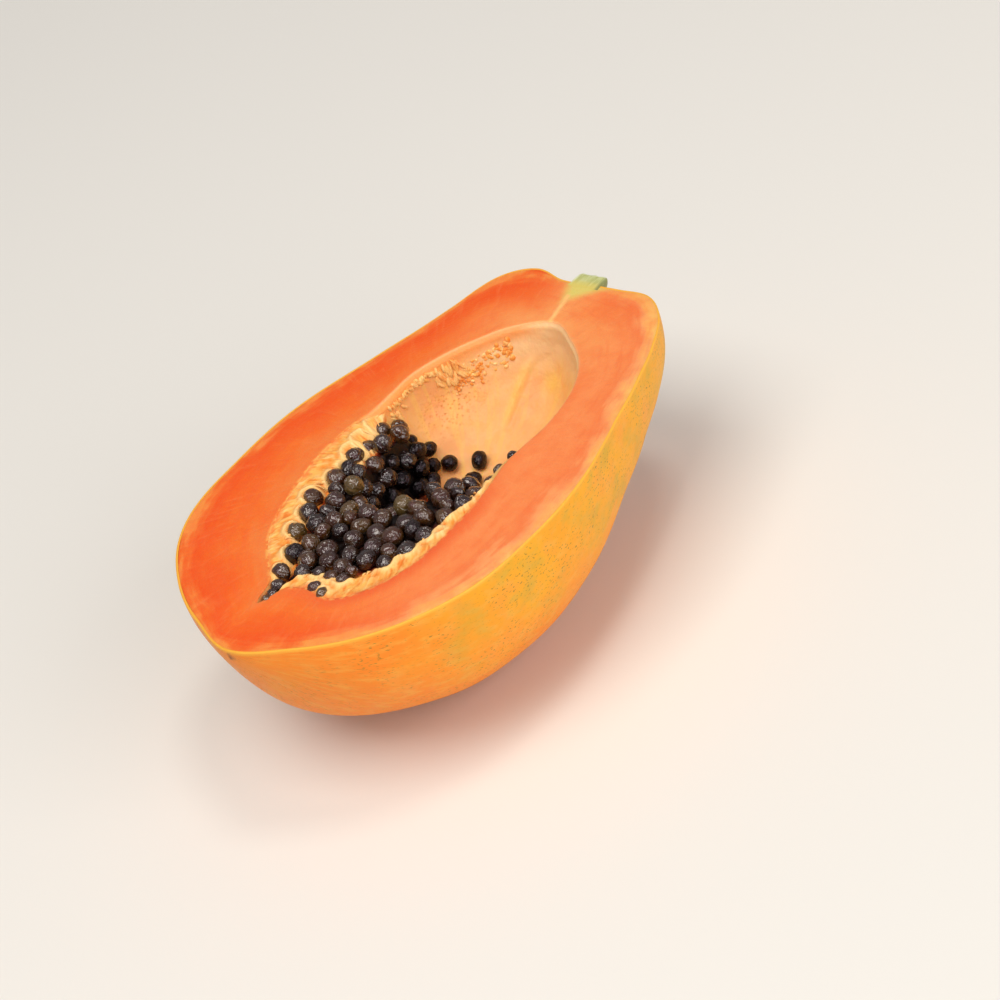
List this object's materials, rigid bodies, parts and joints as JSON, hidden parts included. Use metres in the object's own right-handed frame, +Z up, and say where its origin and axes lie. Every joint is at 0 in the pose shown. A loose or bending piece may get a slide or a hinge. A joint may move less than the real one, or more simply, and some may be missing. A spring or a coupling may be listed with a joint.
{
  "type": "papaya half",
  "caption": "Ripe papaya half, cut lengthwise through its stem and lying on its back, with the seeds in its cavity.",
  "frame": {"origin": "middle of the box's bottom, on the surface that the rounded back lies on", "axes": "+X along the fruit from the blossom tip to the stem, +Y to the left, +Z up out of the cut face"},
  "size_m": [0.2066, 0.137, 0.0715],
  "materials": {
    "flesh": "moist cut papaya flesh, orange, paler near the skin and the cavity",
    "skin": "smooth waxy papaya skin, golden to orange with green-grey mottle and fine olive specks",
    "fibres": "pale yellow-orange stringy lining round the seeds",
    "seed_jelly": "wet dark brown seeds in a thin clear jelly coat",
    "stem": "pale green cut stem stub"
  },
  "bodies": {
    "root": {"fruit": "flesh", "seeds": "seed_jelly"}
  },
  "joints": []
}
